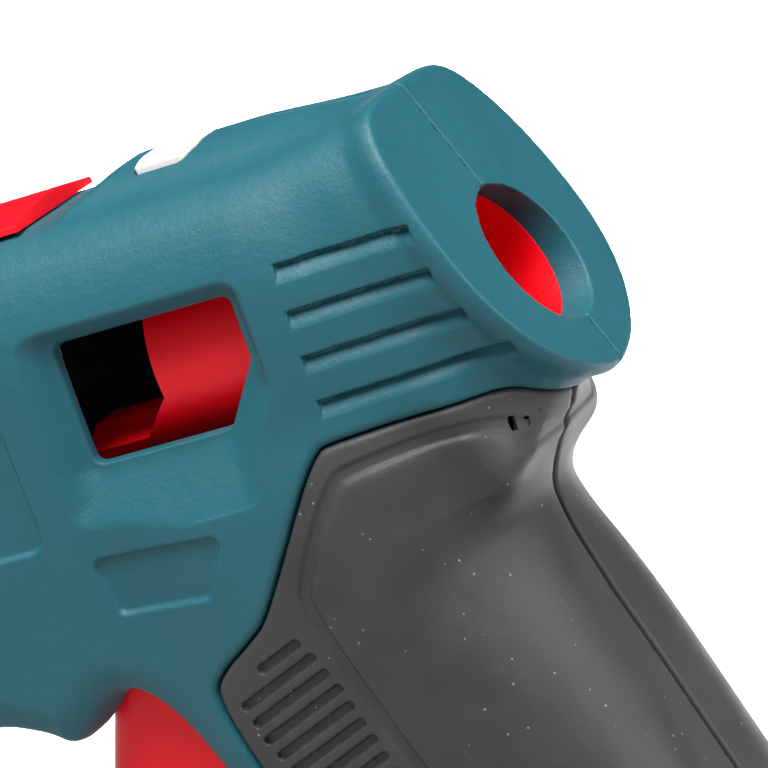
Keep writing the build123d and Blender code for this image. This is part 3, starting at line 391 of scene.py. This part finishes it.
# ---- from field to mesh ----------------------------------------------------------------------------
def sample(field, low, high, step):
    """Field on a grid, worked out finely only near its surface."""
    coarse = step * 4
    counts = [int(math.ceil((b - a) / coarse)) + 1 for a, b in zip(low, high)]
    axes = [a + coarse * np.arange(n) for a, n in zip(low, counts)]
    grid = np.stack(np.meshgrid(*axes, indexing="ij"), axis=-1)
    rough = in_parts(field, grid.reshape(-1, 3)).reshape(counts)
    near = np.abs(rough) < coarse * 1.35
    cells = np.zeros([n - 1 for n in counts], bool)
    for dx, dy, dz in itertools.product((0, 1), repeat=3):
        cells |= near[dx:counts[0] - 1 + dx, dy:counts[1] - 1 + dy, dz:counts[2] - 1 + dz]
    fine_counts = [(n - 1) * 4 + 1 for n in counts]
    mask = np.zeros(fine_counts, bool)
    grown = cells.repeat(4, 0).repeat(4, 1).repeat(4, 2)
    for dx, dy, dz in itertools.product((0, 1), repeat=3):
        mask[dx:fine_counts[0] - 1 + dx, dy:fine_counts[1] - 1 + dy, dz:fine_counts[2] - 1 + dz] |= grown
    sign = np.where(rough < 0, -1.0, 1.0).repeat(4, 0).repeat(4, 1).repeat(4, 2)
    values = 9.0 * sign[:fine_counts[0], :fine_counts[1], :fine_counts[2]]
    at = np.argwhere(mask)
    values[mask] = in_parts(field, np.array(low) + at * step)
    return values


def surface_net(values, low, step):
    """Quad mesh of the zero surface: one point in each cell that the surface crosses."""
    inside = values < 0
    size = np.array(values.shape) - 1
    count = np.zeros(size, np.uint8)
    for dx, dy, dz in itertools.product((0, 1), repeat=3):
        count += inside[dx:size[0] + dx, dy:size[1] + dy, dz:size[2] + dz]
    active = (count > 0) & (count < 8)
    index = np.full(size, -1, np.int64)
    index[active] = np.arange(active.sum())
    cells = np.argwhere(active)
    total = np.zeros(cells.shape)
    weight = np.zeros(len(cells))
    for axis in range(3):
        others = [a for a in range(3) if a != axis]
        for b, c in itertools.product((0, 1), repeat=2):
            start = np.zeros(3, int)
            start[others[0]] = b
            start[others[1]] = c
            end = start.copy()
            end[axis] = 1
            va = values[tuple((cells + start).T)]
            vb = values[tuple((cells + end).T)]
            cross = (va < 0) != (vb < 0)
            t = np.where(cross, va / np.where(cross, va - vb, 1), 0)
            total += np.where(cross[:, None], start + np.outer(t, end - start), 0)
            weight += cross
    verts = np.array(low) + (cells + total / weight[:, None]) * step
    quads = []
    for axis in range(3):
        b, c = [(axis + 1) % 3, (axis + 2) % 3]
        first = [slice(None)] * 3
        second = [slice(None)] * 3
        first[axis] = slice(0, -1)
        second[axis] = slice(1, None)
        flips = inside[tuple(first)] != inside[tuple(second)]
        at = np.argwhere(flips)
        at = at[(at[:, b] > 0) & (at[:, c] > 0) & (at[:, b] < size[b]) & (at[:, c] < size[c])]
        outward = inside[tuple(at.T)]
        ring = []
        for db, dc in ((-1, -1), (0, -1), (0, 0), (-1, 0)):
            cell = at.copy()
            cell[:, b] += db
            cell[:, c] += dc
            ring.append(index[tuple(cell.T)])
        ring = np.stack(ring, axis=1)
        ring = ring[(ring >= 0).all(1)] if (ring < 0).any() else ring
        ring[~outward] = ring[~outward][:, ::-1]
        quads.append(ring)
    return verts, np.concatenate(quads)


def in_parts(field, p):
    """The field at many points, in small batches on all cores."""
    if len(p) == 0:
        return np.zeros(0)
    batches = np.array_split(p, max(1, len(p) // 12000))
    with concurrent.futures.ThreadPoolExecutor(4) as pool:
        return np.concatenate(list(pool.map(field, batches)))


def gradient(field, p, reach=0.08):
    g = np.stack([in_parts(field, p + e) - in_parts(field, p - e) for e in np.eye(3) * reach], axis=1)
    return g / np.maximum(np.linalg.norm(g, axis=1), 1e-9)[:, None]


def settle(field, p, rounds=2):
    """Moves points onto the zero surface."""
    for _ in range(rounds):
        g = gradient(field, p)
        p = p - g * np.clip(in_parts(field, p), -0.5, 0.5)[:, None]
    return p


def refine(mesh_data, field, wanted, angle):
    """Splits the faces in the wanted region whose corners turn by more than angle degrees."""
    verts, faces = mesh_data
    g = gradient(field, verts)
    bm = bmesh.new()
    for v in verts:
        bm.verts.new(v)
    bm.verts.ensure_lookup_table()
    for f in faces:
        try:
            bm.faces.new([bm.verts[i] for i in f])
        except ValueError:
            pass
    bm.verts.index_update()
    limit = math.cos(math.radians(angle))
    chosen = set()
    for e in bm.edges:
        a, b = e.verts[0].index, e.verts[1].index
        if wanted[a] and g[a] @ g[b] < limit:
            for f in e.link_faces:
                chosen.update(f.edges)
    bmesh.ops.subdivide_edges(bm, edges=list(chosen), cuts=1, use_grid_fill=True)
    bmesh.ops.triangulate(bm, faces=[f for f in bm.faces if len(f.verts) > 4])
    bm.verts.index_update()
    new_verts = np.array([v.co[:] for v in bm.verts])
    new_faces = [[v.index for v in f.verts] for f in bm.faces]
    bm.free()
    return settle(field, new_verts, 1), new_faces


def skin(name, field, low, high, step, near=None, passes=2):
    """Mesh object of a distance field, with the field's own normals."""
    values = sample(field, low, high, step)
    verts, faces = surface_net(values, low, step)
    verts = settle(field, verts, 1)
    if near is not None:
        for k in range(passes):
            verts, faces = refine((verts, faces), field, near(verts, k), (7.0, 9.0, 12.0)[k])
    normals = turn_to_row(gradient(field, verts))
    mesh = bpy.data.meshes.new(name)
    mesh.from_pydata(to_row(verts).tolist(), [], [list(map(int, f)) for f in faces])
    mesh.update()
    mesh.polygons.foreach_set("use_smooth", np.ones(len(mesh.polygons), bool))
    mesh.normals_split_custom_set_from_vertices(normals.tolist())
    piece = bpy.data.objects.new(name, mesh)
    bpy.context.scene.collection.objects.link(piece)
    print(name, len(mesh.vertices), len(mesh.polygons))
    return piece


# ---- materials -------------------------------------------------------------------------------------
def new_material(name):
    material = bpy.data.materials.new(name)
    material.use_nodes = True
    tree = material.node_tree
    shader = tree.nodes["Principled BSDF"]
    return material, tree, shader


def noise(tree, coords, scale, detail=3.0, rough=0.55):
    node = tree.nodes.new("ShaderNodeTexNoise")
    node.inputs["Scale"].default_value = scale
    node.inputs["Detail"].default_value = detail
    node.inputs["Roughness"].default_value = rough
    tree.links.new(coords, node.inputs["Vector"])
    return node.outputs["Fac"]


def remap(tree, value, low, high, to_low, to_high):
    node = tree.nodes.new("ShaderNodeMapRange")
    for key, number in zip(("From Min", "From Max", "To Min", "To Max"), (low, high, to_low, to_high)):
        node.inputs[key].default_value = number
    tree.links.new(value, node.inputs["Value"])
    return node.outputs["Result"]


def tint(tree, shader, factor, dark, light):
    """Base colour that drifts between two near colours."""
    node = tree.nodes.new("ShaderNodeMix")
    node.data_type = "RGBA"
    node.inputs["A"].default_value = (*dark, 1)
    node.inputs["B"].default_value = (*light, 1)
    tree.links.new(factor, node.inputs["Factor"])
    tree.links.new(node.outputs["Result"], shader.inputs["Base Color"])
    return node


def bump(tree, shader, layers):
    """Stacked bumps: (height, strength, distance in metres)."""
    last = None
    for height, strength, distance in layers:
        node = tree.nodes.new("ShaderNodeBump")
        node.inputs["Strength"].default_value = strength
        node.inputs["Distance"].default_value = distance
        tree.links.new(height, node.inputs["Height"])
        if last is not None:
            tree.links.new(last, node.inputs["Normal"])
        last = node.outputs["Normal"]
    tree.links.new(last, shader.inputs["Normal"])


def object_coords(tree):
    return tree.nodes.new("ShaderNodeTexCoord").outputs["Object"]


def moulded(name, dark, light, rough, grain_scale, grain_depth, rough_spread=0.05, specular=0.5, coat=0.0):
    """Injection-moulded plastic with a spark-eroded grain."""
    material, tree, shader = new_material(name)
    coords = object_coords(tree)
    drift = remap(tree, noise(tree, coords, 55.0, 2.0), 0.3, 0.7, 0.0, 1.0)
    tint(tree, shader, drift, dark, light)
    fine = noise(tree, coords, grain_scale, 3.0, 0.6)
    cloud = noise(tree, coords, grain_scale * 0.22, 2.0)
    tree.links.new(remap(tree, cloud, 0.3, 0.7, rough - rough_spread, rough + rough_spread),
                   shader.inputs["Roughness"])
    shader.inputs["Specular IOR Level"].default_value = specular
    shader.inputs["Coat Weight"].default_value = coat
    shader.inputs["Coat Roughness"].default_value = 0.25
    bump(tree, shader, [(cloud, 0.35, grain_depth * 2.5), (fine, 0.8, grain_depth)])
    return material


def rubber(name, dark, light):
    """Black soft grip: fine grain with sparse pale specks of dust."""
    material, tree, shader = new_material(name)
    coords = object_coords(tree)
    fine = noise(tree, coords, 4200.0, 3.0, 0.6)
    cloud = noise(tree, coords, 160.0, 3.0)
    speck = tree.nodes.new("ShaderNodeTexVoronoi")
    speck.inputs["Scale"].default_value = 900.0
    tree.links.new(coords, speck.inputs["Vector"])
    rare = noise(tree, coords, 900.0, 1.0)
    dot = remap(tree, speck.outputs["Distance"], 0.07, 0.13, 1.0, 0.0)
    some = remap(tree, rare, 0.56, 0.6, 0.0, 1.0)
    both = tree.nodes.new("ShaderNodeMath")
    both.operation = "MULTIPLY"
    tree.links.new(dot, both.inputs[0])
    tree.links.new(some, both.inputs[1])
    base = tint(tree, shader, remap(tree, cloud, 0.3, 0.7, 0.0, 1.0), dark, light)
    dusty = tree.nodes.new("ShaderNodeMix")
    dusty.data_type = "RGBA"
    dusty.inputs["B"].default_value = (0.22, 0.21, 0.2, 1)
    tree.links.new(both.outputs[0], dusty.inputs["Factor"])
    tree.links.new(base.outputs["Result"], dusty.inputs["A"])
    tree.links.new(dusty.outputs["Result"], shader.inputs["Base Color"])
    tree.links.new(remap(tree, cloud, 0.3, 0.7, 0.52, 0.64), shader.inputs["Roughness"])
    shader.inputs["Specular IOR Level"].default_value = 0.45
    bump(tree, shader, [(fine, 0.8, 0.00004)])
    return material


def metal(name, color, rough, scratch_scale=(400.0, 400.0, 3000.0), depth=0.00001):
    """Metal with fine drawn or turned lines and cloudy roughness."""
    material, tree, shader = new_material(name)
    coords = object_coords(tree)
    stretch = tree.nodes.new("ShaderNodeMapping")
    stretch.inputs["Scale"].default_value = scratch_scale
    tree.links.new(coords, stretch.inputs["Vector"])
    lines = noise(tree, stretch.outputs["Vector"], 1.0, 4.0, 0.6)
    cloud = noise(tree, coords, 180.0, 3.0)
    tint(tree, shader, remap(tree, cloud, 0.3, 0.7, 0.0, 1.0), [c * 0.86 for c in color], color)
    shader.inputs["Metallic"].default_value = 1.0
    tree.links.new(remap(tree, cloud, 0.3, 0.7, rough - 0.07, rough + 0.08), shader.inputs["Roughness"])
    bump(tree, shader, [(lines, 0.5, depth)])
    return material


def lens_plastic(name):
    material, tree, shader = new_material(name)
    coords = object_coords(tree)
    cloud = noise(tree, coords, 240.0, 2.0)
    tint(tree, shader, cloud, (0.70, 0.69, 0.68), (0.84, 0.83, 0.82))
    tree.links.new(remap(tree, cloud, 0.3, 0.7, 0.28, 0.38), shader.inputs["Roughness"])
    shader.inputs["Subsurface Weight"].default_value = 0.25
    shader.inputs["Subsurface Scale"].default_value = 0.001
    bump(tree, shader, [(noise(tree, coords, 2600.0, 2.0), 0.3, 0.00001)])
    return material


TEAL = moulded("teal_plastic", (0.0085, 0.086, 0.112), (0.011, 0.096, 0.124), 0.5, 3000.0, 0.00006, specular=0.35)
RED = moulded("red_plastic", (0.90, 0.0006, 0.008), (0.97, 0.0008, 0.011), 0.42, 2600.0, 0.000008, 0.04, 0.3)
BLACK = moulded("black_plastic", (0.016, 0.016, 0.017), (0.026, 0.026, 0.027), 0.5, 2400.0, 0.00003)
SILICONE = moulded("silicone", (0.020, 0.020, 0.022), (0.034, 0.034, 0.036), 0.62, 1800.0, 0.00002)
CERAMIC = moulded("ceramic", (0.62, 0.58, 0.5), (0.74, 0.7, 0.62), 0.7, 1500.0, 0.00003)
SLEEVE = moulded("sleeve_silicone", (0.55, 0.5, 0.42), (0.66, 0.62, 0.54), 0.5, 1200.0, 0.00002)
BOARD = moulded("board", (0.01, 0.09, 0.03), (0.02, 0.14, 0.05), 0.4, 900.0, 0.00001)
INSULATION = moulded("wire_insulation", (0.6, 0.57, 0.5), (0.72, 0.7, 0.62), 0.7, 2200.0, 0.00005)
LED = moulded("led_red", (0.5, 0.01, 0.01), (0.6, 0.02, 0.02), 0.2, 900.0, 0.000005)
RUBBER_MATERIAL = rubber("grip_rubber", (0.026, 0.026, 0.027), (0.036, 0.036, 0.037))
LENS_MATERIAL = lens_plastic("lens_plastic")
STEEL = metal("steel", (0.56, 0.56, 0.57), 0.28)
SPRING_STEEL = metal("spring_steel", (0.36, 0.36, 0.37), 0.35)
ALUMINIUM = metal("aluminium", (0.74, 0.74, 0.75), 0.4, (900.0, 900.0, 900.0), 0.00002)
BRASS = metal("brass", (0.74, 0.49, 0.19), 0.3, (3000.0, 200.0, 200.0))

FINISHES = {
    "teal_plastic": TEAL, "grip_rubber": RUBBER_MATERIAL, "red_plastic": RED, "black_plastic": BLACK,
    "lens_plastic": LENS_MATERIAL, "steel": STEEL, "spring_steel": SPRING_STEEL, "aluminium": ALUMINIUM,
    "brass": BRASS, "silicone": SILICONE, "sleeve_silicone": SLEEVE, "ceramic": CERAMIC, "board": BOARD,
    "wire_insulation": INSULATION, "led_red": LED,
}


def dress(piece, material):
    piece.data.materials.clear()
    piece.data.materials.append(material)


for entry in frame["record"]["subparts"]:
    dress(frame["nodes"][entry["node"]], FINISHES[entry["material_slot"]])


# ---- housing and grips -----------------------------------------------------------------------------
def find_screws():
    """Centres of the separate screws in their node, in the barrel's frame: (x, z) each."""
    bm = bmesh.new()
    bm.from_mesh(frame["nodes"]["housing_screws"].data)
    bm.verts.ensure_lookup_table()
    left = set(bm.verts)
    centres = []
    while left:
        group = []
        queue = [left.pop()]
        while queue:
            v = queue.pop()
            group.append(v.co.copy())
            for e in v.link_edges:
                other = e.other_vert(v)
                if other in left:
                    left.remove(other)
                    queue.append(other)
        low = Vector([min(c[i] for c in group) for i in range(3)])
        high = Vector([max(c[i] for c in group) for i in range(3)])
        middle = ((low + high) / 2 - ORIGIN) / MM
        centres.append((middle.x * PITCH_C + middle.z * PITCH_S, -middle.x * PITCH_S + middle.z * PITCH_C))
    bm.free()
    found = []
    for x, z in centres:
        if all(math.hypot(x - a, z - b) > 3 for a, b in found):
            found.append((x, z))
    return found


SCREWS.extend(find_screws())


def near_rear(verts, k):
    """Where the skin carries its finest detail."""
    x, y, z = verts.T
    return (x > -52) & (z > -60) & (np.abs(y) > 1.0) if k else (x > -120)


def housings_and_grips():
    for side, name in ((1, "right"), (-1, "left")):
        low_y, high_y = (-1.0, 18.0) if side > 0 else (-18.0, 1.0)
        shell = skin(f"{name}_shell", lambda p, s=side: shell_field(p, s), (-114.0, low_y, -142.0),
                     (32.0, high_y, 21.0), STEP, near_rear)
        dress(shell, TEAL)
        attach(shell, "shell")
        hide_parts(f"{name}_housing")
        grip = skin(f"{name}_rubber", lambda p, s=side: grip_field(p, s), (-40.0, low_y, -136.0),
                    (32.0, high_y, -6.0), STEP, near_rear)
        dress(grip, RUBBER_MATERIAL)
        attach(grip, "shell")
        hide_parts(f"{name}_grip")


housings_and_grips()


# ---- stage, light and camera -----------------------------------------------------------------------
def stage():
    bpy.ops.mesh.primitive_plane_add(size=8.0, location=(0, 0, -0.0002))
    floor = bpy.context.object
    floor.name = "floor"
    material, tree, shader = new_material("floor_paper")
    shader.inputs["Base Color"].default_value = (0.42, 0.42, 0.42, 1)
    shader.inputs["Roughness"].default_value = 0.9
    shader.inputs["Specular IOR Level"].default_value = 0.1
    dress(floor, material)


def soft_box(name, size, location, target, power):
    light = bpy.data.lights.new(name, "AREA")
    light.shape = "RECTANGLE"
    light.size, light.size_y = size
    light.energy = power
    holder = bpy.data.objects.new(name, light)
    holder.location = location
    holder.rotation_euler = (Vector(target) - Vector(location)).to_track_quat("-Z", "Y").to_euler()
    bpy.context.scene.collection.objects.link(holder)
    return light


def lighting():
    world = bpy.data.worlds.new("studio")
    world.use_nodes = True
    world.node_tree.nodes["Background"].inputs["Color"].default_value = (1, 1, 1, 1)
    world.node_tree.nodes["Background"].inputs["Strength"].default_value = 0.07
    bpy.context.scene.world = world
    soft_box("overhead", (0.7, 0.6), (-0.2, -0.3, 0.9), (0.02, 0, 0.08), 19.0)
    soft_box("rear", (0.45, 0.45), (0.75, 0.0, 0.6), (0.04, 0, 0.1), 7.0)
    pool = soft_box("background", (1.0, 0.9), (-0.15, 0.62, 0.5), (-0.15, 0.62, 0.0), 30.0)
    pool.spread = math.radians(40.0)
    soft_box("fill", (0.5, 0.5), (-0.1, -0.9, 0.3), (0.02, 0, 0.08), 0.5)


CAMERA_TURN = math.radians(21.86)
CAMERA_RISE = math.radians(19.54)
CAMERA_REACH = 500.0          # from the camera to the depth of the stick hole
FOCAL = 268.36                # on a 36 mm sensor
HOLE_RIGHT = 13.25            # the stick hole's place in the view, from its middle
HOLE_UP = 11.69


def camera():
    right = Vector((math.cos(CAMERA_TURN), math.sin(CAMERA_TURN), 0))
    back = Vector((math.sin(CAMERA_TURN) * math.cos(CAMERA_RISE), -math.cos(CAMERA_TURN) * math.cos(CAMERA_RISE),
                   math.sin(CAMERA_RISE)))
    up = back.cross(right)
    data = bpy.data.cameras.new("camera")
    data.lens = FOCAL
    data.sensor_width = 36.0
    data.clip_start = 0.01
    data.clip_end = 20.0
    holder = bpy.data.objects.new("camera", data)
    turn = Matrix((right, up, back)).transposed().to_4x4()
    place = ORIGIN + (back * CAMERA_REACH - right * HOLE_RIGHT - up * HOLE_UP) * MM
    holder.matrix_world = Matrix.Translation(place) @ turn
    bpy.context.scene.collection.objects.link(holder)
    bpy.context.scene.camera = holder


stage()
lighting()
camera()
bpy.context.scene.view_settings.view_transform = "Standard"
